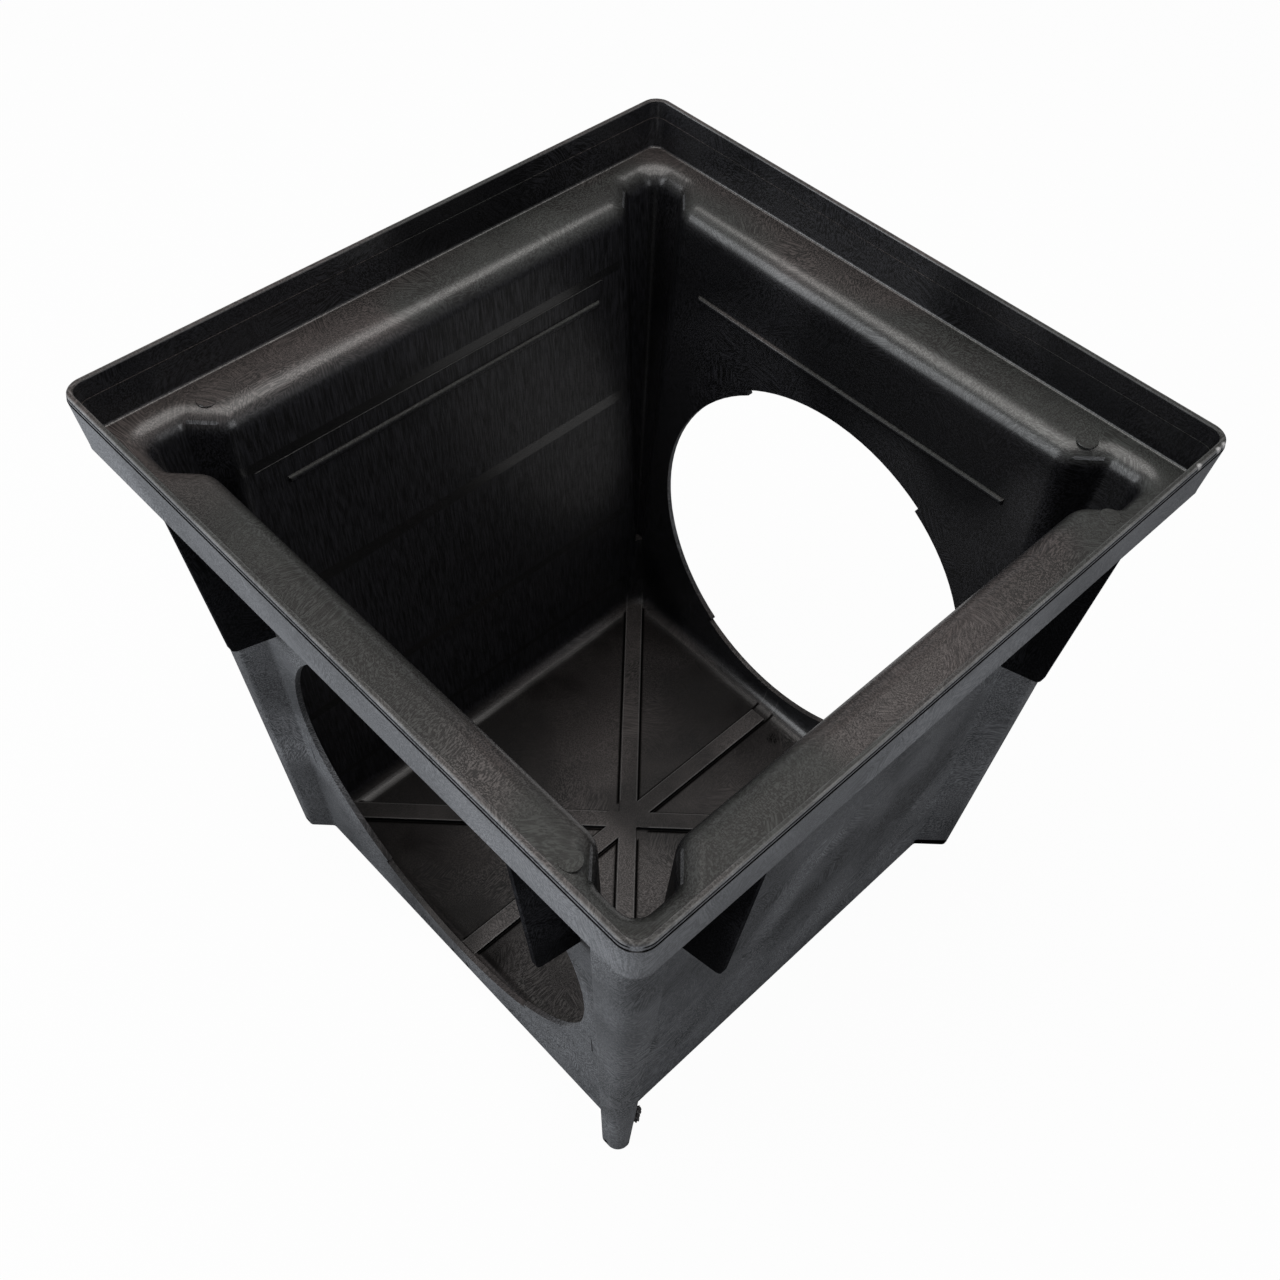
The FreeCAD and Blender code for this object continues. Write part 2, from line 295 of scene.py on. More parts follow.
def above(level: float, ramp: Ramp) -> Ramp:
    """A ramp that is measured upwards from a level."""
    return level + ramp[0], level + ramp[1]


def below(level: float, ramp: Ramp) -> Ramp:
    """A ramp that is measured downwards or inwards from a level."""
    return level - ramp[0], level - ramp[1]


@dataclass(frozen=True)
class Zones:
    """Coordinates of the surface, and its zones as values from 0 to 1.

    The zone up faces the sky.  The zones outside, plate and inside are the other three sides.  Closed is the
    inside of the two walls without an opening, and strip is where one of them is polished.
    """

    place: Signal
    x: Signal
    y: Signal
    z: Signal
    out: Signal
    lean: Signal
    up: Signal
    plate: Signal
    outside: Signal
    inside: Signal
    closed: Signal
    strip: Signal

    @property
    def swirled(self) -> Signal:
        """Inside faces other than the brushed closed walls."""
        return self.inside - self.closed

    @property
    def brushed(self) -> Signal:
        """Closed walls without their polished strips."""
        return self.closed * (1.0 - self.strip)


@dataclass(frozen=True)
class ZoneRules:
    """Limits that tell the zones of the moulding apart."""

    up: Ramp = (0.30, 0.90)
    plate: Band = (0.4, 0.6, 0.05)
    outside: Ramp = (0.8, 0.9)
    closed: Ramp = (0.75, 0.95)
    seat_depth: float = 0.012
    strips: tuple[Band, ...] = (
        (0.4835, 0.4930, 0.0007),
        (0.3265, 0.3400, 0.0012),
        (0.1630, 0.1730, 0.0012),
        (0.0545, 0.0610, 0.0012),
    )
    strip_wall: Ramp = (-0.19, -0.20)
    strip_span: Band = (-0.230, 0.206, 0.003)

    def find(self, shader: Shader) -> Zones:
        """Find the zones.

        Args:
            shader: tree of the material.

        Returns:
            The zones as values of that tree.
        """
        place = shader.place()
        x, y, z = shader.parts(place)
        across, _, lean = shader.parts(shader.out(shader.node("ShaderNodeNewGeometry"), "Normal"))
        up = lean.rise(*self.up)
        side = shader.attribute(SIDE_LAYER)
        plate = side.band(*self.plate) * (1.0 - up)
        outside = side.rise(*self.outside) * (1.0 - up)
        inside = (1.0 - outside - plate) * (1.0 - up)
        seat = z.rise(SIZES.ledge_z - self.seat_depth, SIZES.ledge_z)
        closed = inside * (1.0 - seat) * abs(across).rise(*self.closed)
        strips = largest(z.band(*strip) for strip in self.strips)
        strip = strips * (closed * x.rise(*self.strip_wall)) * y.band(*self.strip_span)
        out = abs(x).larger(abs(y))
        return Zones(place, x, y, z, out, lean, up, plate, outside, inside, closed, strip)


@dataclass(frozen=True)
class Foam:
    """Patterns of the foamed plastic, as values from 0 to 1."""

    hair: Signal
    clouds: Signal
    veil: Signal
    fronts: Signal
    swirl: Signal
    streak: Signal


@dataclass(frozen=True)
class FoamRules:
    """Sizes of the patterns: lengths in metres, scales per metre."""

    hair_step: float = 0.0012
    hair_stretch: float = 42.0
    hair_detail: float = 1.5
    hair_rough: float = 0.6
    hair_ramp: Ramp = (0.40, 0.64)
    patch: float = 0.045
    finer: float = 0.6
    drift: float = 0.37
    warp_scale: float = 0.7
    warp_reach: float = 0.45
    cloud_scale: float = 9.0
    cloud_detail: float = 3.0
    cloud_rough: float = 0.55
    coarse_ramp: Ramp = (0.35, 0.65)
    finer_ramp: Ramp = (0.66, 0.36)
    veil_ramp: Ramp = (0.36, 0.68)
    wander_scale: float = 6.0
    wander_reach: float = 0.14
    front_scale: float = 5.0
    front_detail: float = 1.0
    front_ramp: Ramp = (0.43, 0.55)
    swirl_least: float = 0.35
    streak_scale: Point = (700.0, 700.0, 34.0)
    streak_detail: float = 2.0
    streak_rough: float = 0.6
    streak_ramp: Ramp = (0.32, 0.72)

    def hairs(self, shader: Shader, where: Signal, patch: float, drift: float) -> Signal:
        """Fine curved hairs whose direction changes from patch to patch.

        Args:
            shader: tree of the material.
            where: surface coordinates.
            patch: size of a patch of like direction, in metres.
            drift: offset that makes a second layer differ from the first.

        Returns:
            A value from 0 to 1, high on a hair.
        """
        moved = shader.vector("ADD", where, (drift, 2.0 * drift, 3.0 * drift))
        bend = shader.noise_vector(moved, self.warp_scale / patch, self.warp_reach * patch)
        warped = shader.vector("ADD", moved, bend)
        cells = shader.node(
            "ShaderNodeTexVoronoi",
            {"feature": "F1", "voronoi_dimensions": "3D"},
            {"Vector": warped, "Scale": 1.0 / patch},
        )
        turn = shader.scaled(shader.out(cells, "Color"), 2.0 * math.pi)
        turned = shader.node(
            "ShaderNodeVectorRotate",
            {"rotation_type": "EULER_XYZ"},
            {"Vector": warped, "Center": (0.0, 0.0, 0.0), "Rotation": turn},
        )
        fine = 1.0 / self.hair_step
        along = fine / self.hair_stretch
        drawn = shader.vector("MULTIPLY", shader.out(turned), (along, fine, fine))
        return shader.noise(drawn, 1.0, self.hair_detail, self.hair_rough).rise(*self.hair_ramp)

    def draw(self, shader: Shader, place: Signal) -> Foam:
        """Draw all patterns.

        Args:
            shader: tree of the material.
            place: surface coordinates.

        Returns:
            The patterns as values of that tree.
        """
        coarse = self.hairs(shader, place, self.patch, 0.0)
        finer = self.hairs(shader, place, self.finer * self.patch, self.drift)
        clouds = shader.noise(place, self.cloud_scale, self.cloud_detail, self.cloud_rough)
        hair = coarse * clouds.rise(*self.coarse_ramp) + finer * clouds.rise(*self.finer_ramp)
        wander = shader.noise_vector(place, self.wander_scale, self.wander_reach)
        wandered = shader.vector("ADD", place, wander)
        fronts = shader.noise(wandered, self.front_scale, self.front_detail).rise(*self.front_ramp)
        swirl = hair * (self.swirl_least + (1.0 - self.swirl_least) * fronts)
        brush = shader.vector("MULTIPLY", place, self.streak_scale)
        streak = shader.noise(brush, 1.0, self.streak_detail, self.streak_rough).rise(*self.streak_ramp)
        return Foam(hair, clouds, clouds.rise(*self.veil_ramp), fronts, swirl, streak)


@dataclass(frozen=True)
class WearAndPaintedLight:
    """Edges that are scuffed and carry painted highlights, nicks, painted shade lines, a blot and a darker floor
    edge: lengths in metres, each result from 0 to 1.
    """

    # Lighter lines along the rim's lips and the flange's lower edge: part scuffing, part painted highlight.
    lip: Ramp = (0.0016, 0.0004)
    outer_lip: Ramp = (0.0030, 0.0016)
    inner_lip: Ramp = (0.0004, 0.0012)
    flange_edge: Ramp = (0.0008, 0.0016)
    flange_out: Ramp = (0.006, 0.004)
    amounts: tuple[float, float, float] = (0.24, 0.12, 0.16)
    patch_scale: float = 60.0
    patch_detail: float = 3.0
    patch_ramp: Ramp = (0.40, 0.64)
    patch_least: float = 0.6
    nick_ramp: Ramp = (0.0040, 0.0012)
    nicks: tuple[Point, ...] = (
        (0.3105, 0.2880, 0.594),
        (0.3105, 0.2960, 0.594),
        (0.3105, 0.2620, 0.594),
    )
    # Painted shade: dark lines on the rim's outer face just under its top lip and along its groove.
    lip_shade_lines: tuple[Ramp, ...] = ((0.5928, 0.0016), (0.5896, 0.0024))
    rim_face: Ramp = (0.0040, 0.0025)
    hub: Ramp = (0.023, 0.026)
    rib_room: Ramp = (0.030, 0.020)
    # Painted shadow: dark lines along both sides of the floor ribs, at the floor.
    rib_shadow_line: Ramp = (0.0016, 0.0030)
    rib_shadow_depth: Ramp = (0.0040, 0.0026)
    # Painted highlight: lighter lines along the top edges of the floor ribs.
    rib_glint: Ramp = (-0.0005, 0.0012)
    rib_glint_depth: Ramp = (0.0014, 0.0006)
    rib_glint_amount: float = 0.10
    blot: Point = (0.0325, 0.1955, 0.007)
    blot_ramp: Ramp = (0.010, 0.005)
    blot_gaps: Ramp = (0.55, 0.25)
    blot_least: float = 0.4
    # The floor bed turns darker and duller towards its edges.
    floor_edge_ramp: Ramp = (0.05, 0.20)
    floor_edge_amount: Ramp = (0.50, 0.45)
    floor_edge_depth: Ramp = (0.0030, 0.0015)

    def rib_lines(self, zones: Zones, line: Ramp) -> Signal:
        """Lines along both sides of every floor rib.

        Args:
            zones: zones of the moulding.
            line: distance of the line's middle from the rib's side, outwards, and half width of the line.

        Returns:
            1 in the middle of a line, 0 beside it, in the hub and above the floor.
        """
        x, y = zones.x, zones.y
        middle, reach = 0.5 * SIZES.rib_w + line[0], line[1]
        slant = math.sqrt(0.5)
        lines = largest(abs(across).near(middle, reach) for across in (x, (x - y) * slant, (x + y) * slant))
        hub = (x * x + y * y).rise(*(radius**2 for radius in self.hub))
        return lines * hub * zones.z.rise(*self.rib_room)

    def wear_and_glints(self, shader: Shader, zones: Zones) -> Signal:
        """Lighter lines along the rim's lips and the flange's lower edge, part scuffing and part painted highlight,
        painted highlights on the ribs' top edges, and the nicks.
        """
        z, out = zones.z, zones.out
        lip = z.rise(*below(SIZES.height, self.lip))
        outer = out.rise(*below(SIZES.rim_half, self.outer_lip)) * lip
        inner = out.near(SIZES.rim_inner + self.inner_lip[0], self.inner_lip[1]) * lip
        low = z.near(SIZES.flange_z + self.flange_edge[0], self.flange_edge[1])
        low = low * out.rise(*below(SIZES.rim_half, self.flange_out))
        patches = shader.noise(zones.place, self.patch_scale, self.patch_detail).rise(*self.patch_ramp)
        patchy = self.patch_least + (1.0 - self.patch_least) * patches
        chips = largest(shader.distance(zones.place, nick).rise(*self.nick_ramp) for nick in self.nicks)
        edges = sum(edge * amount for edge, amount in zip((outer, inner, low), self.amounts)) * patchy
        # Painted highlight along the ribs' top edges.
        ribs = self.rib_lines(zones, self.rib_glint) * z.rise(*below(SIZES.rib_z, self.rib_glint_depth))
        return edges.larger(chips).larger(ribs * self.rib_glint_amount)

    def marks(self, shader: Shader, zones: Zones, foam: Foam) -> Signal:
        """Painted shade lines under the rim's lip and painted shadow lines beside the ribs, with the blot on the
        floor.
        """
        # Painted shade under the rim's lip and along its groove.
        lip_shade = largest(zones.z.near(*line) for line in self.lip_shade_lines)
        lip_shade = lip_shade * zones.out.rise(*below(SIZES.rim_half, self.rim_face))
        # Painted shadow along both sides of the ribs.
        dark_matt = self.rib_lines(zones, self.rib_shadow_line) * zones.z.rise(*above(SIZES.floor_z, self.rib_shadow_depth))
        gaps = self.blot_least + (1.0 - self.blot_least) * foam.hair.rise(*self.blot_gaps)
        blot = shader.distance(zones.place, self.blot).rise(*self.blot_ramp) * gaps
        return dark_matt.larger(lip_shade).larger(blot)

    def floor_edge_dark(self, zones: Zones, foam: Foam) -> Signal:
        """Darker, duller floor bed towards its edges."""
        least, more = self.floor_edge_amount
        bed = zones.z.rise(*above(SIZES.floor_z, self.floor_edge_depth))
        return zones.out.rise(*self.floor_edge_ramp) * (least + more * foam.veil) * bed


@dataclass(frozen=True)
class Shine:
    """Clear gloss over the plastic: for each zone, what it has at least and what a pattern adds."""

    closed: Ramp = (0.10, 0.22)
    swirled: tuple[float, float, float] = (0.12, 0.26, 0.40)
    up: Ramp = (0.03, 0.30)
    outside: Ramp = (0.04, 0.14)
    mouth: Ramp = (0.52, 0.40)
    cove: Ramp = (0.70, 0.30)
    strip: float = 0.85
    fillet: Band = (0.30, 0.95, 0.06)
    mouth_depth: float = 0.030
    mouth_stand: float = 0.004
    mouth_soft: float = 0.002
    cove_ramp: Ramp = (0.034, 0.028)
    rough: float = 0.25
    ior: float = 1.50

    def weight(self, zones: Zones, foam: Foam, marks: Signal) -> Signal:
        """Weight of the gloss.

        Args:
            zones: zones of the moulding.
            foam: patterns of the plastic.
            marks: painted shade lines and the blot, which have no gloss.

        Returns:
            A value from 0 to 1.
        """
        z = zones.z
        fillet = zones.lean.band(*self.fillet) * (1.0 - zones.outside - zones.plate)
        mouth = fillet * z.band(SIZES.ledge_z - self.mouth_depth, SIZES.ledge_z + self.mouth_stand, self.mouth_soft)
        cove = fillet * z.rise(*self.cove_ramp)
        least, hairs, fronts = self.swirled
        broad = (
            zones.closed * (self.closed[0] + self.closed[1] * foam.streak)
            + zones.swirled * (least + hairs * foam.swirl + fronts * foam.fronts)
            + zones.up * (self.up[0] + self.up[1] * foam.swirl)
            + zones.outside * (self.outside[0] + self.outside[1] * foam.swirl)
        )
        shiny = (mouth * (self.mouth[0] + self.mouth[1] * foam.hair)).larger(
            cove * (self.cove[0] + self.cove[1] * foam.hair)
        )
        return broad.larger(zones.strip * self.strip).larger(shiny) * (1.0 - marks)


@dataclass(frozen=True)
class Tone:
    """Colours of one side of the moulding, and how far hairs and clouds lay the lighter one over the other."""

    deep: Colour
    light: Colour
    hairs: float
    veil: float

    def share(self, hairs: Signal, veil: Signal) -> Signal:
        """How much of the lighter colour shows."""
        return hairs * self.hairs + veil * self.veil


@dataclass(frozen=True)
class FoamedPlastic:
    """Black foamed moulding plastic with hair-like swirls, brushed inner walls, edge scuffing and painted light and
    shade.
    """

    name: str
    zone_rules: ZoneRules = ZoneRules()
    foam_rules: FoamRules = FoamRules()
    wear_and_painted_light: WearAndPaintedLight = WearAndPaintedLight()
    shine: Shine = Shine()
    # One plastic in lit and shaded copies: the inner and ground tones are darker as painted shade of the deep
    # inside and the floor, the outer tone lighter as painted light on the outside faces.
    inner: Tone = Tone((0.0014, 0.0014, 0.0016), (0.0130, 0.0130, 0.0156), 1.0, 0.0)
    upper: Tone = Tone((0.0060, 0.0053, 0.0050), (0.0480, 0.0398, 0.0380), 0.70, 0.25)
    ground: Tone = Tone((0.0008, 0.0007, 0.0007), (0.0440, 0.0380, 0.0370), 0.60, 0.35)
    outer: Tone = Tone((0.0200, 0.0208, 0.0226), (0.1850, 0.1910, 0.2030), 0.60, 0.22)
    moss: Colour = (0.0290, 0.0315, 0.0295)
    # Colour of the lighter edges: part scuffing, part painted highlight.
    worn_and_glint: Colour = (0.30, 0.30, 0.30)
    # Colour of the painted shade lines under the lip and beside the ribs, and of the blot.
    shade_and_blot_colour: Colour = (0.0008, 0.0008, 0.0007)
    shaded_ground_ramp: Ramp = (0.30, 0.10)
    outer_least: float = 0.50
    # Painted light: outer faces grow lighter towards the top, and most on the rim's outer face above the flange.
    painted_height_ramp: Ramp = (0.05, 0.45)
    painted_height_light: float = 0.08
    painted_rim_ramp: Ramp = (0.0, 0.004)
    painted_rim_light: float = 0.30
    # Painted shade: the plates take only a little of the outer colour, so they stay dark.
    shaded_plate_share: float = 0.09
    inner_rough: Ramp = (0.42, 0.60)
    upper_rough: Ramp = (0.55, 0.75)
    outer_rough: Ramp = (0.65, 0.85)
    rough_hairs: float = 0.6
    chalk: float = 0.55
    floor_edge_dull: float = 0.8
    flow_dull: float = 0.45
    bump_hairs: float = 0.22
    bump_clouds: float = 0.7
    bump_streaks: float = 0.10
    bump_strength: float = 0.55
    bump_depth: float = 0.0012
    ior: float = 1.30

    def plain(self, shader: Shader, zones: Zones, foam: Foam, floor_edge_dark: Signal) -> Signal:
        """Colour of the plastic before the lighter edges, the painted shade lines and the blot.

        Args:
            shader: tree of the material.
            zones: zones of the moulding.
            foam: patterns of the plastic.
            floor_edge_dark: darkening of the floor bed towards its edges.

        Returns:
            The colour.
        """
        z = zones.z
        brushed = shader.mix(foam.streak * zones.brushed, self.inner.deep, self.inner.light)
        mottled = shader.mix(self.inner.share(foam.swirl, foam.veil), self.inner.deep, self.inner.light)
        tint = shader.mix(foam.fronts, self.moss, self.upper.light)
        upper = shader.mix(self.upper.share(foam.hair, foam.veil), self.upper.deep, tint)
        ground = shader.mix(self.ground.share(foam.swirl, foam.veil), self.ground.deep, self.ground.light)
        ground = shader.mix(floor_edge_dark, ground, self.ground.deep)
        faded = foam.hair * (self.outer_least + (1.0 - self.outer_least) * foam.fronts)
        # Painted light: lighter outer colour towards the top and on the rim's outer face.
        painted_lift = z.rise(*self.painted_height_ramp) * self.painted_height_light
        painted_lift = painted_lift + z.rise(*above(SIZES.flange_z, self.painted_rim_ramp)) * self.painted_rim_light
        outer = shader.mix(self.outer.share(faded, foam.veil) + painted_lift, self.outer.deep, self.outer.light)
        base = shader.mix(zones.closed, mottled, brushed)
        # Painted shade: up-facing faces near the floor take the darker ground tone.
        base = shader.mix(zones.up, base, shader.mix(z.rise(*self.shaded_ground_ramp), upper, ground))
        # Painted shade: the plates' faces keep the dark inner colour, with little of the outer one.
        return shader.mix(zones.outside.larger(zones.plate * self.shaded_plate_share), base, outer)

    def roughness(self, zones: Zones, foam: Foam) -> Signal:
        """Roughness of the plastic under its gloss."""
        share = (foam.hair * self.rough_hairs + foam.clouds * (1.0 - self.rough_hairs)).smaller(1.0)
        rough = zones.plate * self.outer_rough[1]
        for zone, (least, most) in (
            (zones.inside, self.inner_rough),
            (zones.up, self.upper_rough),
            (zones.outside, self.outer_rough),
        ):
            rough = rough + zone * (least + (most - least) * share)
        return rough

    def bump(self, shader: Shader, zones: Zones, foam: Foam) -> Signal:
        """Fine relief of hairs, clouds and streaks, as a normal."""
        height = (
            foam.hair * (self.bump_hairs * (1.0 - zones.closed))
            + foam.clouds * self.bump_clouds
            + foam.streak * zones.brushed * self.bump_streaks
        )
        sockets = {"Strength": self.bump_strength, "Distance": self.bump_depth, "Height": height}
        return shader.out(shader.node("ShaderNodeBump", None, sockets))

    def build(self) -> bpy.types.Material:
        """Make the material.

        Returns:
            The finished material.
        """
        material = bpy.data.materials.new(self.name)
        material.use_nodes = True
        shader = Shader(material.node_tree)
        zones = self.zone_rules.find(shader)
        foam = self.foam_rules.draw(shader, zones.place)
        marks = self.wear_and_painted_light.marks(shader, zones, foam)
        floor_edge_dark = self.wear_and_painted_light.floor_edge_dark(zones, foam)
        # Painted shade lines under the lip and beside the ribs, and the blot, laid over the colour.
        base = shader.mix(marks, self.plain(shader, zones, foam, floor_edge_dark), self.shade_and_blot_colour)
        # Lighter edges: scuffing with painted highlights on the lips and flange, painted highlights on the ribs,
        # and the nicks.
        base = shader.mix(self.wear_and_painted_light.wear_and_glints(shader, zones), base, self.worn_and_glint)
        normal = self.bump(shader, zones, foam)
        glossy = shader.node(
            "ShaderNodeBsdfPrincipled",
            None,
            {
                "Base Color": base,
                "Roughness": self.roughness(zones, foam),
                "IOR": self.ior,
                "Normal": normal,
                "Coat Weight": self.shine.weight(zones, foam, marks),
                "Coat Roughness": self.shine.rough,
                "Coat IOR": self.shine.ior,
            },
        )
        dull = shader.node("ShaderNodeBsdfDiffuse", None, {"Color": base, "Normal": normal})
        flow = zones.swirled * (1.0 - foam.fronts) * self.flow_dull
        # Outer faces are partly dull, and the floor bed duller towards its edges.
        chalk, dark_matt = zones.outside * self.chalk, floor_edge_dark * zones.up * self.floor_edge_dull
        matt = largest((chalk, zones.plate, marks, dark_matt, flow))
        sockets = {0: matt, 1: shader.out(glossy), 2: shader.out(dull)}
        surface = shader.node("ShaderNodeMixShader", None, sockets)
        shader.node("ShaderNodeOutputMaterial", None, {"Surface": shader.out(surface)})
        return material


def link(name: str, mesh: bpy.types.Mesh) -> bpy.types.Object:
    """Put a mesh into the scene as an object at the origin."""
    made = bpy.data.objects.new(name, mesh)
    bpy.context.scene.collection.objects.link(made)
    return made


def declare(piece: bpy.types.Object) -> bpy.types.Object:
    """Let a finished piece ride on the basin."""
    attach(piece, BODY)
    log.info("%s: %d faces", piece.name, len(piece.data.polygons))
    return piece


@dataclass
class Shell:
    """The moulding itself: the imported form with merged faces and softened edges."""

    finish: FoamedPlastic
    weld: float = 2e-6
    flat_angle: float = math.radians(0.3)
    sharp_angle: float = math.radians(26.0)
    edge_soft: float = 0.0006
    edge_steps: int = 2
    shortest: float = 0.0025
    mouth_depth: float = 0.020
    mouth_facing: float = -0.2
    rim_depth: float = 0.002
    pocket_from: float = 0.19
    inner_facing: float = 0.25
    plate_reach: float = 0.008
    plate_gap: float = 0.0005

    def side(self, face: bmesh.types.BMFace) -> Side:
        """Tell on which side of the moulding a face lies.

        Args:
            face: face of the shell.

        Returns:
            The side it belongs to.
        """
        spot, normal = face.calc_center_median(), face.normal
        wide, narrow = max(abs(spot.x), abs(spot.y)), min(abs(spot.x), abs(spot.y))
        if wide < SIZES.wall(spot.z) - 0.5 * SIZES.wall_t:
            return Side.INSIDE
        outward = (normal.x * spot.x + normal.y * spot.y) / math.hypot(spot.x, spot.y)
        in_mouth = spot.z > SIZES.flange_z - self.mouth_depth and outward < self.mouth_facing
        in_rim = spot.z > SIZES.flange_z - self.rim_depth
        in_pocket = narrow > self.pocket_from and (wide - narrow) * math.sqrt(0.5) < SIZES.pocket(spot.z)
        if in_mouth or ((in_rim or in_pocket) and outward < self.inner_facing):
            return Side.INSIDE
        plate_high = SIZES.plate_low < spot.z < SIZES.flange_z - self.plate_gap
        if plate_high and abs(narrow - SIZES.plate_at) < self.plate_reach:
            return Side.PLATE
        return Side.OUTSIDE

    def soften(self, work: bmesh.types.BMesh) -> None:
        """Round the sharp outward edges that are long enough for it."""
        chosen = [
            edge
            for edge in work.edges
            if len(edge.link_faces) == 2
            and edge.is_convex
            and edge.calc_length() > self.shortest
            and edge.calc_face_angle(0.0) > self.sharp_angle
        ]
        bmesh.ops.bevel(
            work,
            geom=chosen,
            offset=self.edge_soft,
            offset_type="OFFSET",
            segments=self.edge_steps,
            profile=0.5,
            affect="EDGES",
            clamp_overlap=False,
        )

    def mesh(self) -> bpy.types.Mesh:
        """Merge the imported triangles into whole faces, soften the edges and note each face's side.

        Returns:
            A mesh of the same form without empty faces, with its sharp edges marked.
        """
        work = bmesh.new()
        work.from_mesh(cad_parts[SHELL_NODE].data)
        bmesh.ops.remove_doubles(work, verts=work.verts, dist=self.weld)
        bmesh.ops.dissolve_limit(
            work,
            angle_limit=self.flat_angle,
            verts=work.verts,
            edges=work.edges,
            use_dissolve_boundaries=False,
        )
        self.soften(work)
        bmesh.ops.remove_doubles(work, verts=work.verts, dist=self.weld)
        bmesh.ops.dissolve_degenerate(work, dist=self.weld, edges=work.edges)
        work.normal_update()
        layer = work.faces.layers.float.new(SIDE_LAYER)
        for face in work.faces:
            face.smooth = True
            face[layer] = self.side(face).value
        for edge in work.edges:
            edge.smooth = edge.calc_face_angle(0.0) < self.sharp_angle
        made = bpy.data.meshes.new("basin_shell")
        work.to_mesh(made)
        work.free()
        return made

    def build(self) -> bpy.types.Object:
        """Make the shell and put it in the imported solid's place.

        Returns:
            The shell.
        """
        shell = link("basin_shell", self.mesh())
        shell.data.materials.clear()
        shell.data.materials.append(self.finish.build())
        even = shell.modifiers.new("even_shading", "WEIGHTED_NORMAL")
        even.keep_sharp = True
        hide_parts(SHELL_NODE)
        return declare(shell)


@dataclass
class PinMarks:
    """Low round marks that the mould's pins leave on the grate seat."""

    finish: FoamedPlastic
    middles: tuple[tuple[float, float], ...] = (
        (-0.2785, -0.2140),
        (0.2185, 0.2740),
        (0.2210, -0.2785),
        (0.2785, 0.2170),
    )
    radius: float = 0.0088
    stand: float = 0.0002
    sink: float = 0.0004
    sides: int = 48

    def spots(self) -> list[Vector]:
        """Middle of each mark on the seat."""
        return [Vector((x, y, SIZES.ledge_z)) for x, y in self.middles]

    def tree(self) -> bpy.types.NodeTree:
        """Node tree that sets one flat round mark on each point.

        Returns:
            The tree, with inputs for the mark's radius, height, number of sides and finish.
        """
        tree = bpy.data.node_groups.new("pin_marks", "GeometryNodeTree")
        for label, way, kind in (
            ("Geometry", "INPUT", "Geometry"),
            ("Radius", "INPUT", "Float"),
            ("Height", "INPUT", "Float"),
            ("Sides", "INPUT", "Int"),
            ("Finish", "INPUT", "Material"),
            ("Geometry", "OUTPUT", "Geometry"),
        ):
            tree.interface.new_socket(label, in_out=way, socket_type="NodeSocket" + kind)
        nodes, links = tree.nodes, tree.links
        given = nodes.new("NodeGroupInput")
        result = nodes.new("NodeGroupOutput")
        disc = nodes.new("GeometryNodeMeshCone")
        disc.fill_type = "NGON"
        inset = nodes.new("ShaderNodeMath")
        inset.operation = "SUBTRACT"
        place = nodes.new("GeometryNodeInstanceOnPoints")
        real = nodes.new("GeometryNodeRealizeInstances")
        dress = nodes.new("GeometryNodeSetMaterial")
        for source, output, target, entry in (
            (given, "Radius", disc, "Radius Bottom"),
            (given, "Radius", inset, 0),
            (given, "Height", inset, 1),
            (inset, 0, disc, "Radius Top"),
            (given, "Height", disc, "Depth"),
            (given, "Sides", disc, "Vertices"),
            (given, "Geometry", place, "Points"),
            (disc, "Mesh", place, "Instance"),
            (place, "Instances", real, "Geometry"),
            (real, "Geometry", dress, "Geometry"),
            (given, "Finish", dress, "Material"),
            (dress, "Geometry", result, "Geometry"),
        ):
            links.new(source.outputs[output], target.inputs[entry])
        return tree

    def build(self) -> bpy.types.Object:
        """Make all marks as one plain mesh.

        Returns:
            The piece.
        """
        points = bpy.data.meshes.new("pin_points")
        points.from_pydata([spot - Vector((0.0, 0.0, self.sink)) for spot in self.spots()], [], [])
        tree = self.tree()
        carrier = link("pin_carrier", points)
        modifier = carrier.modifiers.new("pin_marks", "NODES")
        modifier.node_group = tree
        wanted = {
            "Radius": self.radius,
            "Height": self.sink + self.stand,
            "Sides": self.sides,
            "Finish": self.finish.build(),
        }
        for item in tree.interface.items_tree:
            if item.in_out == "INPUT" and item.name in wanted:
                modifier[item.identifier] = wanted[item.name]
        graph = bpy.context.evaluated_depsgraph_get()
        made = bpy.data.meshes.new_from_object(carrier.evaluated_get(graph))
        made.name = "pin_marks"
        bpy.data.objects.remove(carrier)
        return declare(link("pin_marks", made))


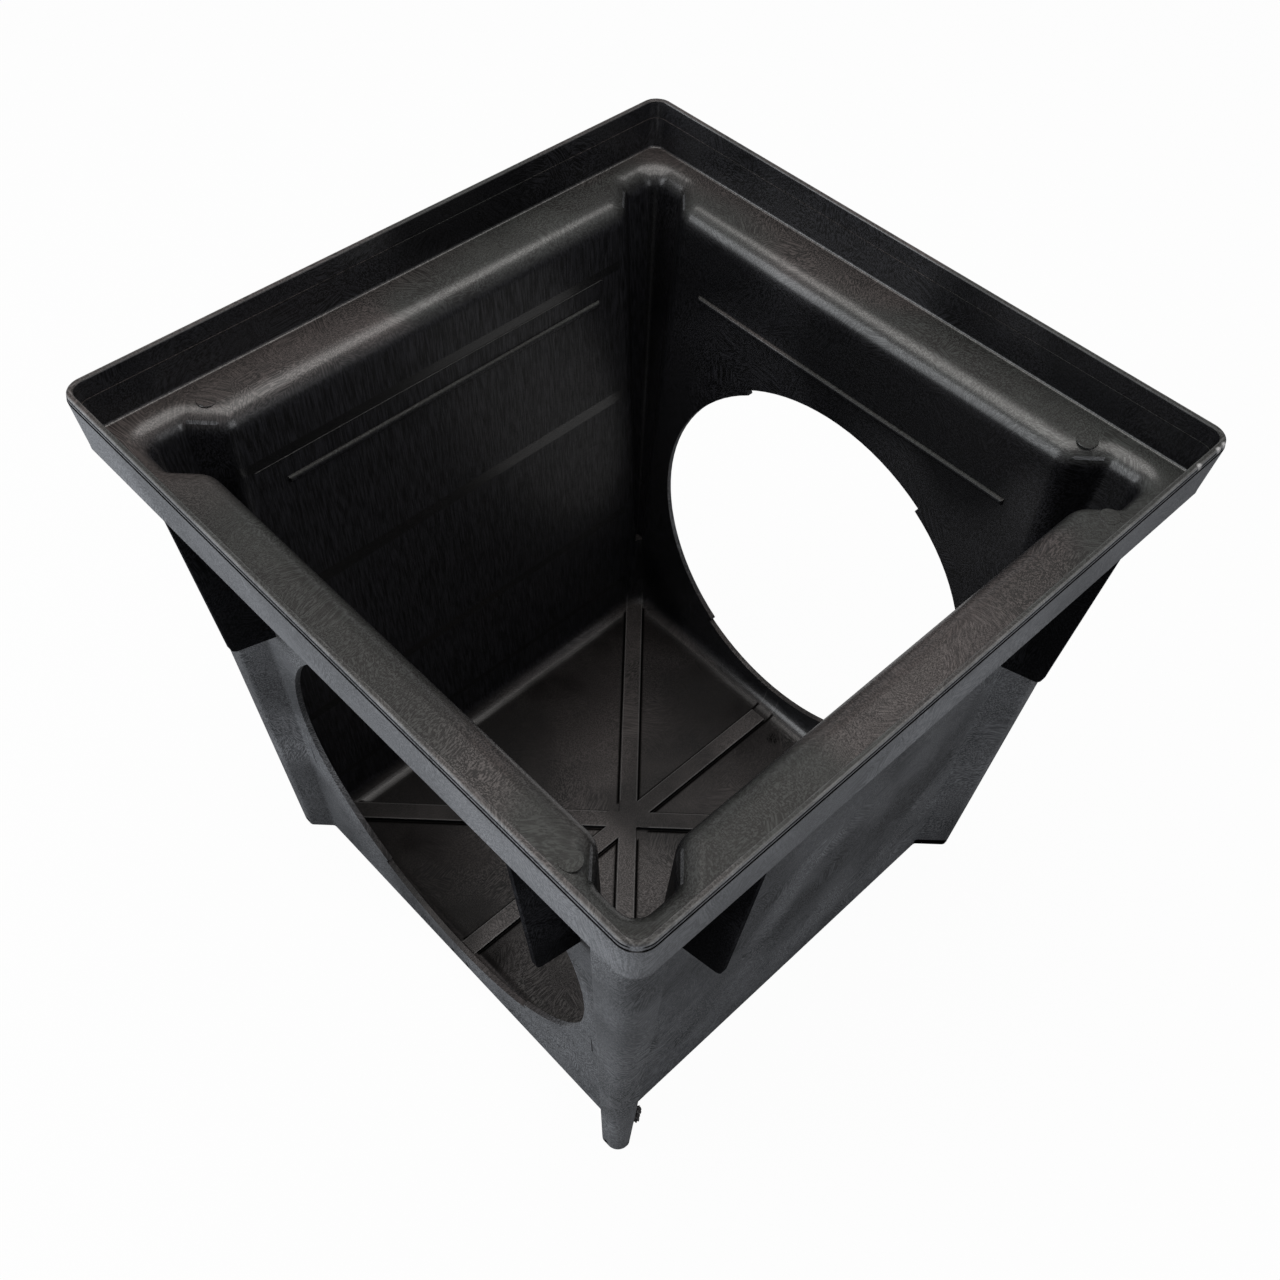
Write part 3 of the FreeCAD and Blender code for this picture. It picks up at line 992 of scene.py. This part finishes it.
@dataclass
class SeatCove:
    """Small hollow round where the grate seat meets the rim."""

    finish: FoamedPlastic
    half: float = 0.30362
    corner_r: float = 0.0115
    cove_r: float = 0.0025
    bury: float = 0.0004
    arc_steps: int = 6
    corner_steps: int = 8
    sharp_angle: float = math.radians(40.0)

    def ring(self, inset: float, z: float) -> list[Vector]:
        """Points round the seat's room at a distance inside its wall."""
        radius = self.corner_r - inset
        middle = self.half - self.corner_r
        points = []
        for quarter in range(4):
            start = 0.5 * math.pi * quarter
            turn_x, turn_y = math.cos(start) - math.sin(start), math.sin(start) + math.cos(start)
            for step in range(self.corner_steps + 1):
                angle = start + 0.5 * math.pi * step / self.corner_steps
                x = middle * turn_x + radius * math.cos(angle)
                y = middle * turn_y + radius * math.sin(angle)
                points.append(Vector((x, y, z)))
        return points

    def build(self) -> bpy.types.Object:
        """Make the hollow round as a closed band.

        Returns:
            The piece.
        """
        rings = [self.ring(-self.bury, SIZES.ledge_z - self.bury)]
        for step in range(self.arc_steps + 1):
            angle = 0.5 * math.pi * step / self.arc_steps
            inset = self.cove_r * (1.0 - math.sin(angle))
            rings.append(self.ring(inset, SIZES.ledge_z + self.cove_r * (1.0 - math.cos(angle))))
        work = bmesh.new()
        loops = [[work.verts.new(point) for point in ring] for ring in rings]
        for low, high in zip(loops, loops[1:] + loops[:1]):
            for i in range(len(low)):
                j = (i + 1) % len(low)
                work.faces.new((low[i], low[j], high[j], high[i])).smooth = True
        bmesh.ops.recalc_face_normals(work, faces=work.faces)
        for edge in work.edges:
            edge.smooth = edge.calc_face_angle(0.0) < self.sharp_angle
        made = bpy.data.meshes.new("seat_cove")
        work.to_mesh(made)
        work.free()
        cove = link("seat_cove", made)
        cove.data.materials.append(self.finish.build())
        return declare(cove)


@dataclass
class MouldLine:
    """Fine raised line that two halves of the mould leave across one inner wall."""

    finish: FoamedPlastic
    z: float = 0.4825
    ends: tuple[float, float] = (-0.204, 0.182)
    wall_x: float = -0.24707
    lean: float = 0.0555
    width: float = 0.0009
    stand: float = 0.0004
    sink: float = 0.0003

    def build(self) -> bpy.types.Object:
        """Make the line as a low ridge.

        Returns:
            The piece.
        """
        along = Vector((-self.lean, 0.0, 1.0)).normalized()
        out = Vector((1.0, 0.0, self.lean)).normalized()
        work = bmesh.new()
        rings = []
        for y in self.ends:
            middle = Vector((self.wall_x, y, self.z))
            foot = middle - out * self.sink
            half = along * (0.5 * self.width)
            section = (foot - half, foot + half, middle + out * self.stand)
            rings.append([work.verts.new(point) for point in section])
        first, second = rings
        for i in range(len(first)):
            j = (i + 1) % len(first)
            work.faces.new((first[i], first[j], second[j], second[i]))
        work.faces.new(first[::-1])
        work.faces.new(second)
        bmesh.ops.recalc_face_normals(work, faces=work.faces)
        made = bpy.data.meshes.new("mould_line")
        work.to_mesh(made)
        work.free()
        line = link("mould_line", made)
        line.data.materials.append(self.finish.build())
        return declare(line)


@dataclass
class TornStub:
    """Rough stub of torn plastic on the side of the front foot."""

    finish: FoamedPlastic
    middle: Point = (0.2345, -0.2115, 0.0085)
    reach: Point = (0.0070, 0.0042, 0.0055)
    turn: float = math.radians(-45.0)
    roughness: float = 0.42
    swell_scale: float = 1.7
    swell_shift: Point = (3.0, 1.0, 5.0)
    swell_fade: float = 0.8
    swell_step: float = 2.1
    swell_octaves: int = 4
    divisions: int = 4

    def build(self) -> bpy.types.Object:
        """Make the stub from a ball with an uneven surface.

        Returns:
            The piece.
        """
        turned = Matrix.Rotation(self.turn, 3, "Z")
        work = bmesh.new()
        bmesh.ops.create_icosphere(work, subdivisions=self.divisions, radius=1.0)
        for vertex in work.verts:
            spot = vertex.co * self.swell_scale + Vector(self.swell_shift)
            swell = noise.fractal(spot, self.swell_fade, self.swell_step, self.swell_octaves)
            point = vertex.co * (1.0 + self.roughness * swell)
            vertex.co = Vector(self.middle) + turned @ Vector([p * r for p, r in zip(point, self.reach)])
        for face in work.faces:
            face.smooth = True
        made = bpy.data.meshes.new("torn_stub")
        work.to_mesh(made)
        work.free()
        stub = link("torn_stub", made)
        stub.data.materials.append(self.finish.build())
        return declare(stub)


@dataclass(frozen=True)
class Lamp:
    """One soft studio lamp."""

    name: str
    place: Point
    aim: Point
    size: tuple[float, float]
    watts: float
    colour: Colour = (1.0, 1.0, 1.0)


@dataclass
class Studio:
    """Floor, light and camera round the basin."""

    floor_half: float = 8.0
    floor_colour: Colour = (0.36, 0.36, 0.36)
    floor_white: float = 0.97
    sky: Colour = (0.35, 0.35, 0.36)
    azimuth: float = 43.685
    elevation: float = 51.618
    roll: float = 3.223
    lens: float = 38.975
    sensor: float = 36.0
    sight: Ramp = (0.05, 60.0)
    eye: Point = (0.5357, -0.55753, 1.29758)
    lamps: list[Lamp] = field(
        default_factory=lambda: [
            Lamp("top_box", (-0.15, 0.2, 2.6), (0.0, 0.0, 0.4), (2.4, 2.4), 72.0, (1.0, 0.97, 0.94)),
            Lamp("front_box", (-1.3, -2.5, 1.6), (0.0, 0.0, 0.4), (2.6, 2.2), 94.0, (0.94, 0.97, 1.0)),
            Lamp("right_box", (2.6, -0.2, 1.4), (0.3, 0.0, 0.4), (1.2, 1.2), 15.0, (0.94, 0.97, 1.0)),
        ]
    )

    def floor(self) -> bpy.types.Object:
        """Plain pale floor that shows white and keeps the basin's shadow."""
        half = self.floor_half
        mesh = bpy.data.meshes.new("floor")
        corners = [(-half, -half, 0.0), (half, -half, 0.0), (half, half, 0.0), (-half, half, 0.0)]
        mesh.from_pydata(corners, [], [(0, 1, 2, 3)])
        made = link("floor", mesh)
        material = bpy.data.materials.new("pale_floor")
        material.use_nodes = True
        shader = Shader(material.node_tree)
        matte = shader.node("ShaderNodeBsdfDiffuse", None, {"Color": rgba(self.floor_colour)})
        white = shader.node("ShaderNodeEmission", None, {"Color": (1.0, 1.0, 1.0, 1.0), "Strength": 1.0})
        seen = shader.out(shader.node("ShaderNodeLightPath"), "Is Camera Ray")
        both = shader.node(
            "ShaderNodeMixShader",
            None,
            {0: seen * self.floor_white, 1: shader.out(matte), 2: shader.out(white)},
        )
        shader.node("ShaderNodeOutputMaterial", None, {"Surface": shader.out(both)})
        mesh.materials.append(material)
        return made

    def world(self) -> None:
        """Even sky that is white where the camera looks straight at it."""
        world = bpy.data.worlds.new("studio_sky")
        bpy.context.scene.world = world
        world.use_nodes = True
        shader = Shader(world.node_tree)
        seen = shader.out(shader.node("ShaderNodeLightPath"), "Is Camera Ray")
        colour = shader.mix(seen, self.sky, (1.0, 1.0, 1.0))
        back = shader.node("ShaderNodeBackground", None, {"Color": colour, "Strength": 1.0})
        shader.node("ShaderNodeOutputWorld", None, {"Surface": shader.out(back)})

    def light(self) -> None:
        """Set the soft lamps."""
        for lamp in self.lamps:
            data = bpy.data.lights.new(lamp.name, "AREA")
            data.shape = "RECTANGLE"
            data.size, data.size_y = lamp.size
            data.energy = lamp.watts
            data.color = lamp.colour
            made = bpy.data.objects.new(lamp.name, data)
            bpy.context.scene.collection.objects.link(made)
            made.location = lamp.place
            toward = Vector(lamp.aim) - Vector(lamp.place)
            made.rotation_euler = toward.to_track_quat("-Z", "Y").to_euler()

    def camera(self) -> bpy.types.Object:
        """Camera at the photograph's place and angle."""
        azimuth, elevation, roll = (math.radians(a) for a in (self.azimuth, self.elevation, self.roll))
        ahead = Vector(
            (
                -math.sin(azimuth) * math.cos(elevation),
                math.cos(azimuth) * math.cos(elevation),
                -math.sin(elevation),
            )
        )
        level = Vector((math.cos(azimuth), math.sin(azimuth), 0.0))
        above = level.cross(ahead)
        right = math.cos(roll) * level + math.sin(roll) * above
        up = math.cos(roll) * above - math.sin(roll) * level
        data = bpy.data.cameras.new("photo_camera")
        data.sensor_width = self.sensor
        data.lens = self.lens
        data.clip_start, data.clip_end = self.sight
        made = bpy.data.objects.new("photo_camera", data)
        bpy.context.scene.collection.objects.link(made)
        turned = Matrix((right, up, -ahead)).transposed().to_4x4()
        made.matrix_world = Matrix.Translation(self.eye) @ turned
        bpy.context.scene.camera = made
        return made

    def build(self) -> None:
        """Make floor, sky, lamps and camera."""
        self.floor()
        self.world()
        self.light()
        self.camera()
        bpy.context.scene.view_settings.view_transform = "Standard"


def corners(bounds: tuple[Vector, Vector]) -> list[list[float]]:
    """A box as plain lists of numbers."""
    return [list(bounds[0]), list(bounds[1])]


def main() -> None:
    """Build the studio and every piece."""
    logging.basicConfig(level=logging.INFO, format="%(name)s: %(message)s")
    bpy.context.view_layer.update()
    Studio().build()
    Shell(FoamedPlastic("foamed_plastic")).build()
    PinMarks(FoamedPlastic("pin_mark_plastic")).build()
    SeatCove(FoamedPlastic("cove_plastic")).build()
    MouldLine(FoamedPlastic("mould_line_plastic")).build()
    TornStub(FoamedPlastic("torn_plastic")).build()


if __name__ == "__main__":
    main()
